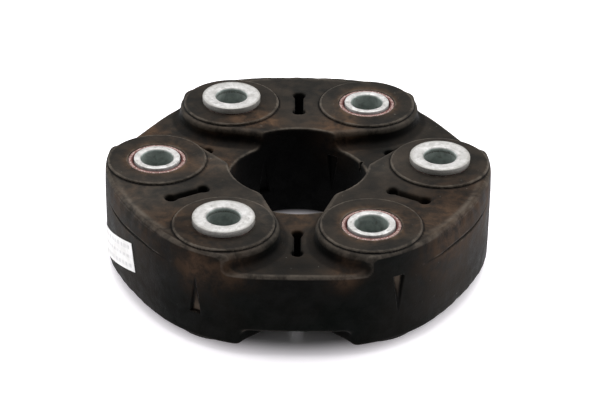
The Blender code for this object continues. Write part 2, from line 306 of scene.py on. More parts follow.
# Colours: one, or the two that a cloud pattern goes between
CLEAN_RUBBER = ((0.0006, 0.0014, 0.0009), (0.0024, 0.0025, 0.0019))
DUST = ((0.015, 0.0140, 0.0125), (0.027, 0.0225, 0.0185))
PALE_DUST = (0.040, 0.032, 0.025)
BROWN_STAIN = ((0.036, 0.021, 0.013), (0.100, 0.058, 0.034))
# Worn edges, lighter, with a painted highlight
WORN_AND_LIT_RUBBER = (0.105, 0.090, 0.074)
NOTCH_DUST = (0.070, 0.054, 0.041)
# Painted shade in hollows
HOLLOW_SHADE = (0.002, 0.002, 0.002)
SPECK = (0.20, 0.19, 0.17)
UNLIT_RUBBER = (0.0004, 0.0005, 0.0006)
ZINC_PLATE = ((0.62, 0.61, 0.60), (0.40, 0.39, 0.375))
# A darker, greener copy of the zinc for the bore: painted shade inside it
ZINC_BORE_SHADED = ((0.40, 0.45, 0.42), (0.24, 0.275, 0.26))
ZINC_PIT = (0.20, 0.19, 0.17)
# Painted shade on the collar's side
ZINC_SIDE_SHADE = (0.30, 0.29, 0.265)
# Painted shade at the collar's foot
COLLAR_FOOT_SHADE = (0.10, 0.10, 0.085)
RUST = ((0.15, 0.055, 0.045), (0.30, 0.18, 0.16))
PALE_RUST = (0.52, 0.43, 0.40)
DARK_RUST = (0.07, 0.010, 0.008)
CORD = ((0.16, 0.12, 0.07), (0.42, 0.34, 0.22))
CORD_SHADOW = (0.06, 0.05, 0.04)
PAPER = ((0.80, 0.80, 0.79), (0.70, 0.70, 0.68))
PRINT_GREY = (0.30, 0.30, 0.31)
FLOOR = ((0.89, 0.88, 0.90), (0.91, 0.90, 0.915))
FLOOR_GLOW = (0.98, 0.94, 0.99)

# Cloud and grain patterns: scale per metre, detail, roughness and distortion
RUBBER_WIDE = (45, 5, 0.62, 0.5)
RUBBER_CLOUD = (170, 6, 0.68, 0.3)
RUBBER_GRAIN = (1300, 4, 0.65)
RUBBER_SPECKS = (700, 2, 0.5)
ZINC_CLOUD = (320, 6, 0.68, 0.4)
ZINC_GRAIN = (2200, 3, 0.6)
ZINC_PITS = (620, 3, 0.55)
RUST_CLOUD = (420, 5, 0.65)
RUST_GRAIN = (1600, 4, 0.6)
CORD_CLOUD = (300, 4)
PAPER_CLOUD = (260, 4)
PAPER_GRAIN = (900, 3)
FLOOR_CLOUD = (3, 2)

# Floor, with its faint glow outside the rubber and under the hole
FLOOR_REACH = 3.0
FLOOR_STEPS = 9
FLOOR_GAP = 0.05 * MM
GLOW = 0.55
GLOW_START = 59 * MM
GLOW_FULL = 74 * MM
HOLE_GLOW = 0.4
HOLE_GLOW_FADE = 8 * MM

# World light: between these two slopes, its strength goes from one to the other
WORLD_RAMP = (0.0, 0.7, 0.1, 0.42)

# Lamps: name, place, width and power
LAMPS = (
    ("overhead", (0.0, 0.35, 1.2), 1.3, 17),
    ("left_box", (-1.1, 0.35, 0.5), 0.8, 6),
    ("right_box", (1.1, 0.25, 0.5), 0.8, 7),
)

CAMERA_LENS = 140.16
CAMERA_ELEVATION = math.radians(30.6075)
CAMERA_FAR = 867.5 * MM
CAMERA_ROLL = math.radians(-0.6473)
CAMERA_RIGHT = 0.774 * MM
CAMERA_UP = -15.302 * MM
AIM_Z = 19.6 * MM
SENSOR_WIDTH = 36

# Meshing
VOXEL = 0.5 * MM
MARGIN = 2.5 * MM
SETTLE_STEPS = 2
PROBE = 0.3 * MM
WIDE_PROBE = 0.7 * MM
SNAP_SHARE = 0.15

# Quarters of a link, by distance along it from the driving bush: the two bodies
# each lies between, and where its stretch starts and ends
QUARTERS = (
    ("driving_end", "driving_bushes", "drive_cords", 11.0 * MM, 18.7 * MM),
    ("driving_half", "drive_cords", "disc_body", 18.7 * MM, 26.25 * MM),
    ("driven_half", "disc_body", "coast_cords", 26.25 * MM, 33.8 * MM),
    ("driven_end", "coast_cords", "driven_bushes", 33.8 * MM, 41.5 * MM),
)
FAR = 1.0


def smooth_min(a, b, blend):
    share = np.clip(0.5 + 0.5 * (b - a) / blend, 0, 1)
    return b + (a - b) * share - blend * share * (1 - share)


def smooth_max(a, b, blend):
    return -smooth_min(-a, -b, blend)


def ramp(value, low, high):
    """0 up to low, 1 from high on, and even between."""
    return np.clip((value - low) / (high - low), 0, 1)


def polar(x, y):
    """Distance from the axis, and angle in degrees."""
    return np.hypot(x, y), np.degrees(np.arctan2(y, x))


def bush_wave(angle):
    """1 at each bush and -1 at the middle of each link."""
    return np.cos(np.radians(6 * angle))


def beside_bush(r, angle):
    """How far to the side of the nearest bush's spoke."""
    return np.abs(r * np.sin(np.radians((angle + HALF_STEP) % LINK_STEP - HALF_STEP)))


def beside_link(r, angle):
    """How far to the side of the spoke through the link's middle."""
    return np.abs(r * np.sin(np.radians(angle % LINK_STEP - HALF_STEP)))


def wall_at(angle):
    """The wall's radius at this angle, away from creases and notches."""
    return WALL_R + WALL_WAVE * bush_wave(angle)


def thick_at(angle):
    """1 at the middle of a thick link, falling to 0 at its bushes and beyond."""
    thick = np.cos(np.radians(3 * (angle + HALF_STEP))) > 0
    return np.where(thick, 0.5 - 0.5 * bush_wave(angle), 0)


def crease_height(angle):
    """How high the mould line is, which wanders a little."""
    return CREASE_Z + CREASE_WANDER * np.sin(np.radians(CREASE_WAVES * angle))


def notch(x, y, z):
    """Half a notch's width at this height, and how far along it the point is."""
    _, angle = polar(x, y)
    up = np.where(np.round(angle / LINK_STEP) % 2 == 1, z, -z)
    rise = (up - NOTCH_LOW) / (NOTCH_HIGH - NOTCH_LOW)
    return NOTCH_NARROW + (NOTCH_WIDE - NOTCH_NARROW) * rise, rise


def bush_frame(r, angle):
    """How far out along the nearest thin link, and the place from its bush: outward,
    and sideways towards the thin link."""
    from_thin = np.abs((angle + HALF_STEP) % (2 * LINK_STEP) - LINK_STEP)
    u = r * np.cos(np.radians(from_thin))
    v = r * np.sin(np.radians(from_thin))
    out = u * math.cos(LINK_HALF) + v * math.sin(LINK_HALF) - PITCH_R
    side = u * math.sin(LINK_HALF) - v * math.cos(LINK_HALF)
    return u, out, side


def leaning_wall(wall, angle, z):
    """The outer wall with its shoulders, which lean in above and below."""
    thick_share = thick_at(angle)
    depth = SHOULDER_MIN + (SHOULDER_MAX - SHOULDER_MIN) * thick_share
    lean = np.interp(np.abs(z), SHOULDER_Z, SHOULDER_LEAN)
    lean = np.where(z > 0, 1, SHOULDER_UNDER) * lean
    ripple = sum(np.sin(np.radians(waves * angle)) for waves in RIPPLE_WAVES)
    return wall + lean * (depth + RIPPLE * ripple * thick_share)


def plain_links(out, side, z):
    """Thin links, thick ones and pads, with no wall, hole or slots yet."""
    bush = np.hypot(out, side)
    height = np.abs(z)
    touch = math.pi - math.acos(RECESS_R / (PITCH_R - HOLE_R))
    nose = np.maximum(
        out * math.cos(touch) + side * math.sin(touch) - RECESS_R,
        out * math.sin(touch) - side * math.cos(touch),
    )
    # Underneath, the thick part runs on further along the wall from each bush
    strip = side - np.where(z > 0, RECESS_SIDE_TOP, RECESS_SIDE_UNDER)
    island = np.minimum(bush - RECESS_R, nose)
    island = smooth_min(island, np.maximum(strip, -out), RECESS_BLEND)
    thick = smooth_max(height - THICK_HALF, island, RECESS_EDGE)
    body = smooth_min(height - THIN_HALF, thick, RECESS_FILLET)
    pad = smooth_max(height - PAD_HALF, bush - PAD_R, PAD_EDGE)
    return smooth_min(body, pad, PAD_FILLET)


def slot_distance(r, angle, side):
    """The slot through each link, a little wider in the thick ones."""
    out = r * np.cos(np.radians(angle % LINK_STEP - HALF_STEP))
    along = np.abs(out - SLOT_CENTRE) - SLOT_LENGTH / 2 + SLOT_END_R
    beside = beside_link(r, angle) - np.where(side < 0, SLOT_EXTRA / 2, 0)
    return smooth_min(
        np.maximum(beside - SLOT_WIDTH / 2, along),
        np.hypot(np.maximum(along, -SLOT_END_R), beside) - SLOT_END_R,
        SLOT_BLEND,
    )


def cutters(x, y, z, wall):
    """The wedge notches in the outer wall and in the hole's, and the nick."""
    r, angle = polar(x, y)
    half_width, rise = notch(x, y, z)
    beside = beside_bush(r, angle) - half_width
    beside = np.maximum(beside, (rise - 1) * (NOTCH_HIGH - NOTCH_LOW))
    for inward in (-wall, r - HOLE_R):
        yield np.maximum(beside, inward - NOTCH_DEEP * half_width)
    beside = np.abs(r * np.sin(np.radians(angle - NICK_ANGLE))) - NICK_HALF
    nick = np.maximum(np.maximum(beside, -x), r - HOLE_R - NICK_DEPTH)
    yield np.maximum(nick, NICK_LOW - z)


def rubber_distance(x, y, z):
    """Signed distance to the moulding's surface, roughly, and negative inside."""
    r, angle = polar(x, y)
    u, out, side = bush_frame(r, angle)
    wall = smooth_max(r - wall_at(angle), u - THIN_APOTHEM, CHORD_BLEND)
    thick_share = thick_at(angle)
    edge = WALL_EDGE + (WALL_EDGE_THICK - WALL_EDGE) * thick_share
    edge = np.where(z > 0, edge, WALL_EDGE_UNDER)

    body = plain_links(out, side, z)
    body = smooth_max(body, leaning_wall(wall, angle, z), edge)
    body = smooth_max(body, HOLE_R - r, HOLE_EDGE)
    body = smooth_max(body, OPENING_R - np.hypot(out, side), OPENING_EDGE)
    body = smooth_max(body, -slot_distance(r, angle, side), SLOT_EDGE)

    crease = (CREASE_R + CREASE_EDGE) * thick_share - CREASE_EDGE
    crease = crease - np.hypot(wall, z - crease_height(angle))
    body = smooth_max(body, crease, CREASE_EDGE)
    for cutter in cutters(x, y, z, wall):
        body = smooth_max(body, -cutter, NOTCH_EDGE)
    return body


def gradient(points, probe=PROBE):
    """The field's slope at each point, and how sharply the surface bends there."""
    x, y, z = points.T
    here = rubber_distance(x, y, z)
    slope = np.empty_like(points)
    bend = -6 * here
    for axis in range(3):
        step = np.zeros(3)
        step[axis] = probe
        above = rubber_distance(*(points + step).T)
        below = rubber_distance(*(points - step).T)
        slope[:, axis] = (above - below) / (2 * probe)
        bend += above + below
    return here, slope, bend / probe**2


def rubber_surface():
    """Points and triangles of the whole moulding."""
    reach = WALL_R + WALL_WAVE + MARGIN
    across = np.arange(-reach, reach + VOXEL, VOXEL)
    up = np.arange(-PAD_HALF - MARGIN, PAD_HALF + MARGIN + VOXEL, VOXEL)
    field = rubber_distance(
        across[:, None, None], across[None, :, None], up[None, None, :]
    )
    grid = openvdb.FloatGrid(float(field.max()))
    grid.copyFromArray(np.clip(field, -1, 1).astype(np.float32))
    points, quads = grid.convertToQuads(0.0)
    points = points.astype(float) * VOXEL + (across[0], across[0], up[0])
    for _ in range(SETTLE_STEPS):
        here, slope, _ = gradient(points)
        points -= (here / (slope**2).sum(1))[:, None] * slope
    return points, halved(quads.astype(int))


def cut(points, faces, values):
    """Splits the triangles along values = 0. Gives the points and triangles."""
    side = np.sign(values)[faces]
    crossing = side * np.roll(side, -1, axis=1) < 0
    count = crossing.sum(1)
    # Roll each split triangle so that its lone or its on-plane corner comes first
    lone = np.argmax(crossing & np.roll(crossing, 1, axis=1), axis=1)
    first = np.where(count == 2, lone, np.argmax(side == 0, axis=1))
    order = (first[:, None] + np.arange(3)) % 3
    turned = np.take_along_axis(faces, order, axis=1)
    two, one = turned[count == 2], turned[count == 1]
    edges = np.concatenate((two[:, [0, 1]], two[:, [0, 2]], one[:, [1, 2]]))
    edges, where = np.unique(np.sort(edges, axis=1), axis=0, return_inverse=True)
    start, end = values[edges[:, 0]], values[edges[:, 1]]
    share = (start / (start - end))[:, None]
    added = points[edges[:, 0]] * (1 - share) + points[edges[:, 1]] * share
    where = where.reshape(-1) + len(points)
    ab, ac, bc = np.split(where, (len(two), 2 * len(two)))
    a, b, c = two.T
    p, q, s = one.T
    faces = np.concatenate(
        (
            faces[count == 0],
            np.stack((a, ab, ac), 1),
            np.stack((ab, b, c), 1),
            np.stack((ab, c, ac), 1),
            np.stack((p, q, bc), 1),
            np.stack((p, bc, s), 1),
        )
    )
    return np.concatenate((points, added)), faces


def cut_plane(points, faces, normal, distance, snap):
    """Cuts where points @ normal = distance. Points within snap move onto the plane."""
    values = points @ normal - distance
    near = np.abs(values) < snap
    points = points - np.where(near, values, 0)[:, None] * normal
    return cut(points, faces, np.where(near, 0, values))


def compact(points, faces):
    used, faces = np.unique(faces, return_inverse=True)
    return points[used], faces.reshape(-1, 3)


def around(degrees):
    """Unit vectors at this angle: outward, and a quarter turn on."""
    turn = math.radians(degrees)
    outward = np.array((math.cos(turn), math.sin(turn), 0))
    onward = np.array((-math.sin(turn), math.cos(turn), 0))
    return outward, onward


def link_name(sector):
    links = THIN_LINKS if sector % 2 == 0 else THICK_LINKS
    kind = "thin" if sector % 2 == 0 else "thick"
    return f"{kind}_{links.index(LINK_STEP * sector + LINK_STEP // 2) + 1}"


def quartered(points, faces, snap):
    """Yields (link, quarter, start, end, points, faces) for each quarter of a link."""
    for degrees in range(0, 180, LINK_STEP):
        points, faces = cut_plane(points, faces, around(degrees)[1], 0, snap)
    for sector in range(6):
        degrees = LINK_STEP * (sector + 0.5)
        outward, onward = around(degrees)
        # Even sectors have their driving bush first, and odd ones last
        along = onward if sector % 2 == 0 else -onward
        bush = LINK_MIDDLE_R * outward - PITCH_R / 2 * along
        middle = points[faces].mean(1)
        angle = np.degrees(np.arctan2(middle[:, 1], middle[:, 0])) % 360
        inside = angle // LINK_STEP == sector
        part_points, part = compact(points, faces[inside])
        for *_, end in QUARTERS[:-1]:
            level = bush @ along + end
            part_points, part = cut_plane(part_points, part, along, level, snap)
        distance = (part_points[part].mean(1) - bush) @ along
        low = -FAR
        for name, body, other, start, end in QUARTERS:
            high = end if name != QUARTERS[-1][0] else FAR
            chosen = (distance >= low) & (distance < high)
            low = high
            if chosen.any():
                ends = Vector(bush + start * along), Vector(bush + end * along)
                piece = compact(part_points, part[chosen])
                yield link_name(sector), name, (body, other), ends, piece


def new_object(name, mesh, material=None):
    obj = bpy.data.objects.new(name, mesh)
    bpy.context.scene.collection.objects.link(obj)
    if material:
        mesh.materials.append(material)
    return obj


def mesh_of(name, points, faces):
    mesh = bpy.data.meshes.new(name)
    mesh.vertices.add(len(points))
    mesh.vertices.foreach_set("co", points.astype(np.float32).ravel())
    width = faces.shape[1]
    mesh.loops.add(faces.size)
    mesh.loops.foreach_set("vertex_index", faces.astype(np.int32).ravel())
    mesh.polygons.add(len(faces))
    mesh.polygons.foreach_set(
        "loop_start", np.arange(0, faces.size, width, dtype=np.int32)
    )
    mesh.update(calc_edges=True)
    mesh.validate()
    mesh.shade_smooth()
    return mesh


def keep(mesh, name, values):
    """Stores values on the mesh's points for its material to read."""
    kind = "FLOAT_VECTOR" if values.ndim == 2 else "FLOAT"
    attribute = mesh.attributes.new(name, kind, "POINT")
    key = "vector" if values.ndim == 2 else "value"
    attribute.data.foreach_set(key, values.astype(np.float32).ravel())


# ---------------------------------------------------------------- materials


class Shading:
    """Adds nodes to one material and links them."""

    def __init__(self, name):
        self.material = bpy.data.materials.new(name)
        self.material.use_nodes = True
        self.tree = self.material.node_tree
        self.shader = self.tree.nodes["Principled BSDF"]

    def put(self, socket, value):
        if isinstance(value, bpy.types.NodeSocket):
            self.tree.links.new(value, socket)
        elif isinstance(value, tuple) and len(value) == 3 and socket.type == "RGBA":
            socket.default_value = (*value, 1)
        else:
            socket.default_value = value

    def add(self, kind, output=0, settings=None, **inputs):
        node = self.tree.nodes.new(kind)
        for key, value in (settings or {}).items():
            setattr(node, key, value)
        for key, value in inputs.items():
            self.put(node.inputs[key.replace("_", " ")], value)
        return node.outputs[output]

    def attribute(self, name, vector=False):
        return self.add(
            "ShaderNodeAttribute", 1 if vector else 2, {"attribute_name": name}
        )

    def noise(self, where, scale, detail=4.0, roughness=0.55, distortion=0.0):
        return self.add(
            "ShaderNodeTexNoise",
            Vector=where,
            Scale=scale,
            Detail=detail,
            Roughness=roughness,
            Distortion=distortion,
        )

    def ramp(self, value, low, high, to_low=0.0, to_high=1.0):
        """A smooth step from to_low to to_high as value goes from low to high."""
        node = self.tree.nodes.new("ShaderNodeMapRange")
        node.interpolation_type = "SMOOTHSTEP"
        for socket, given in zip(
            node.inputs, (value, low, high, to_low, to_high), strict=False
        ):
            self.put(socket, given)
        return node.outputs[0]

    def operate(self, kind, operation, values, output=0):
        node = self.tree.nodes.new(kind)
        node.operation = operation
        for socket, given in zip(node.inputs, values, strict=False):
            self.put(socket, given)
        return node.outputs[output]

    def math(self, operation, *values):
        return self.operate("ShaderNodeMath", operation, values)

    def from_axis(self, where):
        """How far a place is from the Z axis."""
        flat = self.operate("ShaderNodeVectorMath", "MULTIPLY", (where, (1, 1, 0)))
        return self.operate("ShaderNodeVectorMath", "LENGTH", (flat,), 1)

    def mix(self, share, first, second, blend="MIX"):
        node = self.tree.nodes.new("ShaderNodeMix")
        node.data_type = "RGBA"
        node.blend_type = blend
        self.put(node.inputs[0], share)
        self.put(node.inputs[6], first)
        self.put(node.inputs[7], second)
        return node.outputs[2]

    def bump(self, height, strength, distance, normal=None):
        inputs = {"Height": height, "Strength": strength, "Distance": distance}
        if normal is not None:
            inputs["Normal"] = normal
        return self.add("ShaderNodeBump", **inputs)

    def finish(self, **inputs):
        for key, value in inputs.items():
            self.put(self.shader.inputs[key.replace("_", " ")], value)
        return self.material


def rubber_material():
    s = Shading("moulded_rubber")
    where = s.attribute("rest", vector=True)
    dust = s.attribute("dust")
    wear_and_highlight = s.attribute("wear_and_highlight")
    hollow_shade = s.attribute("hollow_shade")
    stain = s.attribute("stain")
    wide = s.noise(where, *RUBBER_WIDE)
    middle = s.noise(where, *RUBBER_CLOUD)
    fine = s.noise(where, *RUBBER_GRAIN)
    clean = s.mix(s.ramp(wide, 0.35, 0.65), *CLEAN_RUBBER)
    dusty = s.mix(s.ramp(wide, 0.36, 0.64), *DUST)
    dusty = s.mix(s.ramp(middle, 0.42, 0.7, 0.0, 0.5), dusty, PALE_DUST)
    dust_cover = s.math("MULTIPLY", dust, s.ramp(middle, 0.2, 0.6, 0.6, 1.0))
    colour = s.mix(dust_cover, clean, dusty)
    colour = s.mix(1.0, colour, s.attribute("tone"), "MULTIPLY")
    brown = s.mix(s.ramp(middle, 0.3, 0.7), *BROWN_STAIN)
    stained = s.math("MULTIPLY", stain, s.ramp(wide, 0.3, 0.6, 0.4, 1.0))
    stained = s.math("MULTIPLY", stained, s.ramp(middle, 0.3, 0.6, 0.25, 1.0))
    colour = s.mix(stained, colour, brown)
    # Worn edges, lighter, with a painted highlight on them
    worn_and_lit = s.math("MULTIPLY", wear_and_highlight, s.ramp(middle, 0.35, 0.65, 0.2, 0.85))
    colour = s.mix(worn_and_lit, colour, WORN_AND_LIT_RUBBER)
    colour = s.mix(s.attribute("notch"), colour, NOTCH_DUST)
    # Painted shade in hollows and in the mould line
    colour = s.mix(s.math("MULTIPLY", hollow_shade, 0.8), colour, HOLLOW_SHADE)
    specks = s.ramp(s.noise(where, *RUBBER_SPECKS), 0.745, 0.79)
    specks = s.math("MULTIPLY", specks, s.math("MULTIPLY", dust, 0.6))
    colour = s.mix(specks, colour, SPECK)
    shade = s.attribute("shade")
    colour = s.mix(s.math("MULTIPLY", shade, 0.9), colour, UNLIT_RUBBER)
    normal = s.bump(middle, 0.35, 0.6 * MM)
    normal = s.bump(fine, 0.4, 0.14 * MM, normal)
    return s.finish(
        Base_Color=colour,
        Roughness=s.ramp(middle, 0.3, 0.7, 0.5, 0.8),
        Normal=normal,
        Specular_IOR_Level=0.04,
        Sheen_Weight=0.03,
        Sheen_Roughness=0.4,
    )


def zinc_material(name, colours):
    s = Shading(name)
    where = s.add("ShaderNodeTexCoord", 3)
    cloud = s.noise(where, *ZINC_CLOUD)
    grain = s.noise(where, *ZINC_GRAIN)
    pits = s.ramp(s.noise(where, *ZINC_PITS), 0.57, 0.68)
    base = s.mix(s.ramp(cloud, 0.3, 0.7), *colours)
    base = s.mix(s.math("MULTIPLY", pits, 0.45), base, ZINC_PIT)
    # Painted shade at the foot of the collar
    height = s.add("ShaderNodeSeparateXYZ", 2, Vector=where)
    above = s.math("GREATER_THAN", height, FOOT_SHADE_LOW)
    foot = s.ramp(height, FOOT_SHADE_LOW, FOOT_SHADE_HIGH, 1.0, 0.0)
    foot = s.math("MULTIPLY", foot, above)
    foot = s.math("MULTIPLY", foot, s.ramp(grain, 0.35, 0.6, 0.3, 1.0))
    base = s.mix(foot, base, COLLAR_FOOT_SHADE)
    # Painted shade: the collar's side is greyer than its face
    side = s.ramp(s.from_axis(where), *ZINC_SIDE_SHADE_R)
    side = s.math("MULTIPLY", side, s.ramp(grain, 0.35, 0.65, 0.5, 0.9))
    base = s.mix(side, base, ZINC_SIDE_SHADE)
    rough = s.ramp(grain, 0.3, 0.7, 0.43, 0.6)
    normal = s.bump(grain, 0.25, 0.1 * MM)
    normal = s.bump(cloud, 0.2, 0.5 * MM, normal)
    return s.finish(Base_Color=base, Roughness=rough, Metallic=0.4, Normal=normal)


def rust_material():
    s = Shading("rusty_steel")
    where = s.add("ShaderNodeTexCoord", 3)
    cloud = s.noise(where, *RUST_CLOUD)
    grain = s.noise(where, *RUST_GRAIN)
    base = s.mix(s.ramp(cloud, 0.35, 0.65), *RUST)
    base = s.mix(s.ramp(grain, 0.46, 0.66), base, PALE_RUST)
    # Dark rust beside the sleeve
    inner = s.ramp(s.from_axis(where), *DARK_RUST_R, 0.95, 0.0)
    base = s.mix(inner, base, DARK_RUST)
    normal = s.bump(grain, 0.5, 0.3 * MM)
    return s.finish(Base_Color=base, Roughness=0.75, Metallic=0.2, Normal=normal)


def cord_material():
    s = Shading("wound_cord")
    where = s.attribute("rest", vector=True)
    strands = s.add(
        "ShaderNodeTexWave",
        1,
        {"bands_direction": "Z"},
        Vector=where,
        Scale=300.0,
        Distortion=1.5,
        Detail=2.0,
    )
    cloud = s.noise(where, *CORD_CLOUD)
    base = s.mix(strands, *CORD)
    base = s.mix(s.ramp(cloud, 0.4, 0.7), base, CORD_SHADOW)
    normal = s.bump(strands, 0.6, 0.5 * MM)
    return s.finish(Base_Color=base, Roughness=0.85, Normal=normal)


def paper_material():
    s = Shading("label_paper")
    where = s.attribute("rest", vector=True)
    flat = s.attribute("flat", vector=True)
    cloud = s.noise(where, *PAPER_CLOUD)
    base = s.mix(s.ramp(cloud, 0.35, 0.7), *PAPER)
    printed = s.math("MULTIPLY", s.attribute("marks"), 0.4)
    base = s.mix(printed, base, PRINT_GREY)
    normal = s.bump(s.noise(flat, *PAPER_GRAIN), 0.15, 0.1 * MM)
    return s.finish(Base_Color=base, Roughness=0.6, Normal=normal)


def floor_material():
    s = Shading("pale_floor")
    where = s.add("ShaderNodeTexCoord", 3)
    cloud = s.noise(where, *FLOOR_CLOUD)
    base = s.mix(cloud, *FLOOR)
    # Faintly lit from below, but not under the rubber
    from_axis = s.from_axis(where)
    outer = s.ramp(from_axis, GLOW_START, GLOW_FULL, 0.0, GLOW)
    inner = s.ramp(from_axis, HOLE_R, HOLE_R + HOLE_GLOW_FADE, HOLE_GLOW, 0.0)
    return s.finish(
        Base_Color=base,
        Roughness=0.9,
        Specular_IOR_Level=0.1,
        Emission_Color=FLOOR_GLOW,
        Emission_Strength=s.math("ADD", outer, inner),
    )


# ------------------------------------------------------------------- pieces


def make_rubber(material):
    points, faces = rubber_surface()
    for link, quarter, bodies, ends, piece in quartered(
        points, faces, SNAP_SHARE * VOXEL
    ):
        spots, triangles = piece
        _, slope, bend = gradient(spots)
        normals = slope / np.linalg.norm(slope, axis=1)[:, None]
        mesh = mesh_of(f"rubber_{link}_{quarter}", spots, triangles)
        # Wear and a painted highlight where the surface bends outward sharply
        wear_and_highlight = ramp(bend, *WEAR_AND_HIGHLIGHT_BEND) * (1 - plain_edges(spots))
        # Painted shade where the surface bends inward
        hollow_shade = ramp(-gradient(spots, WIDE_PROBE)[2], *HOLLOW_SHADE_BEND)
        keep(mesh, "rest", spots)
        keep(mesh, "dust", dust_share(spots, normals))
        keep(mesh, "wear_and_highlight", np.maximum(wear_and_highlight, ridge_highlight_share(spots)))
        keep(mesh, "tone", np.clip(1 + spots_at(spots, TONES), *TONE_LIMITS))
        # Painted shade in hollows and in the deep mould line
        keep(mesh, "hollow_shade", np.maximum(hollow_shade, in_crease(spots)))
        keep(mesh, "stain", stain_share(spots))
        keep(mesh, "notch", in_notch(spots))
        keep(mesh, "shade", in_hole(spots, normals))
        mesh.normals_split_custom_set_from_vertices(normals)
        obj = new_object(mesh.name, mesh, material)
        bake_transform(obj)
        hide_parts("rubber_disc")


def plain_edges(points):
    """1 where edges get neither wear nor painted highlight: below, at the mould line,
    slots and notches.
    """
    x, y, z = points.T
    r, angle = polar(x, y)
    half_width, rise = notch(x, y, z)
    wedge = beside_bush(r, angle) < half_width + NOTCH_PLAIN
    wedge &= (rise < NOTCH_PLAIN_RISE) & (r > THIN_APOTHEM - NOTCH_PLAIN)
    low = z < -THIN_HALF + UNDER_PLAIN
    slot = beside_link(r, angle) < SLOT_END_R + SLOT_PLAIN
    slot &= np.abs(r - SLOT_CENTRE) < SLOT_LENGTH / 2 + SLOT_PLAIN
    return np.maximum(in_crease(points), slot | low | wedge | hole_notches(points))


def hole_notches(points):
    """1 round the notches in the hole's wall."""
    low = np.abs(points[:, 2]) < NOTCH_HIGH + NOTCH_SPARE
    return low & (np.hypot(points[:, 0], points[:, 1]) < HOLE_R + HOLE_PLAIN)


def ridge_highlight_share(points):
    """Along the thick links' top outer edge, which is rubbed light and gets a painted
    highlight.
    """
    x, y, z = points.T
    r, angle = polar(x, y)
    off = (r - RIDGE_R) / RIDGE_SPREAD
    on_top = z > THICK_HALF - RIDGE_DEPTH
    return np.exp(-(off**2)) * thick_at(angle) * on_top


def in_crease(points):
    """1 in the mould line where it is deep, and 0 away from it. Painted shade goes there.
    """
    x, y, z = points.T
    r, angle = polar(x, y)
    off = np.abs(z - crease_height(angle)) / CREASE_R
    dark = ramp(thick_at(angle), *CREASE_SHADE)
    return ramp(off, *CREASE_FADE) * (r > THIN_APOTHEM) * dark


def in_notch(points):
    """How dusty a notch's floor is: most at its wide end, and 0 outside."""
    x, y, z = points.T
    r, angle = polar(x, y)
    half_width, rise = notch(x, y, z)
    deep = WALL_R + WALL_WAVE - r > NOTCH_DUST_DEPTH * NOTCH_DEEP * half_width
    inside = beside_bush(r, angle) < NOTCH_DUST_WIDTH * half_width
    inside = inside & deep & (r > THIN_APOTHEM) & (rise < 1)
    return ramp(rise, *NOTCH_DUST_RISE) ** 2 * inside


def in_hole(points, normals):
    """1 on the centre hole's wall, where little light comes in, and 0 outside."""
    r = np.hypot(points[:, 0], points[:, 1])
    inward = -(points[:, :2] * normals[:, :2]).sum(1) / r
    share = ramp(inward, *FACES_HOLE) * (r < HOLE_R + HOLE_WALL_DEPTH)
    share = np.maximum(share, hole_notches(points))
    return share * np.clip(1 - spots_at(points, HOLE_LIGHTER), 0, 1)


def spots_at(points, places):
    """The sum of soft round spots, as the tables of them say, at each point."""
    total = np.zeros(len(points))
    for (degrees, radius, height), spread, strength in places:
        outward, _ = around(degrees)
        centre = radius * MM * outward + (0, 0, height * MM)
        far = np.linalg.norm(points - centre, axis=1) / (spread * MM)
        total += strength * np.exp(-(far**2))
    return total


def dust_share(points, normals):
    """How dusty a face is: all of it on top and below, and some of the walls."""
    level = ramp(np.abs(normals[:, 2]), *LEVEL)
    outer = np.hypot(*points[:, :2].T) > DUST_FROM_R
    walls = spots_at(points, WALL_DUST) * outer
    return np.clip(np.maximum(level, walls), 0, 1)


def stain_share(points):
    total = spots_at(points, STAINS)
    # A halo round each sleeve end that is flush
    for angles, up in ((DRIVEN, points[:, 2]), (DRIVING, -points[:, 2])):
        for degrees in angles:
            outward, _ = around(degrees)
            off = np.hypot(*(points - PITCH_R * outward)[:, :2].T)
            ring = np.exp(-(((off - OPENING_R) / STAIN_HALO) ** 2))
            total += STAIN_HALO_STRENGTH * ring * (up > PAD_HALF - STAIN_HALO)
    return np.clip(total, 0, 1)


def stadium(radius, link_degrees):
    """Plan points round both bushes beside a link, evenly spread over each arc."""
    outward, onward = around(link_degrees)
    turns = np.linspace(0, math.pi, CORD_ARC_STEPS + 1)
    made = []
    for way in (1, -1):
        for t in turns:
            spoke = math.cos(t) * outward + math.sin(t) * onward
            from_middle = PITCH_R / 2 * onward + radius * spoke
            made.append(LINK_MIDDLE_R * outward + way * from_middle)
    return np.array(made)


def cord_loop(link_degrees, low, high):
    """Points and triangles of one wound loop with rounded corners."""
    corners = (
        (CORD_INNER_R + CORD_CORNER, low),
        (CORD_OUTER_R - CORD_CORNER, low),
        (CORD_OUTER_R, low + CORD_CORNER),
        (CORD_OUTER_R, high - CORD_CORNER),
        (CORD_OUTER_R - CORD_CORNER, high),
        (CORD_INNER_R + CORD_CORNER, high),
        (CORD_INNER_R, high - CORD_CORNER),
        (CORD_INNER_R, low + CORD_CORNER),
    )
    rings = []
    for radius, z in corners:
        ring = stadium(radius, link_degrees)
        ring[:, 2] = z
        rings.append(ring)
    return grid_faces(np.array(rings), True, True)


def grid_quads(rows, wrap_rows, wrap_columns):
    """Points and four-sided faces of a grid of points, rows x columns x 3."""
    count, width = rows.shape[:2]
    i, j = np.meshgrid(
        np.arange(count if wrap_rows else count - 1),
        np.arange(width if wrap_columns else width - 1),
        indexing="ij",
    )
    a = i * width + j
    b = i * width + (j + 1) % width
    c = (i + 1) % count * width + (j + 1) % width
    d = (i + 1) % count * width + j
    return rows.reshape(-1, 3), np.stack((a, b, c, d), -1).reshape(-1, 4)


def halved(quads):
    """Each four-sided face as two triangles."""
    return np.concatenate((quads[:, [0, 1, 2]], quads[:, [0, 2, 3]]))


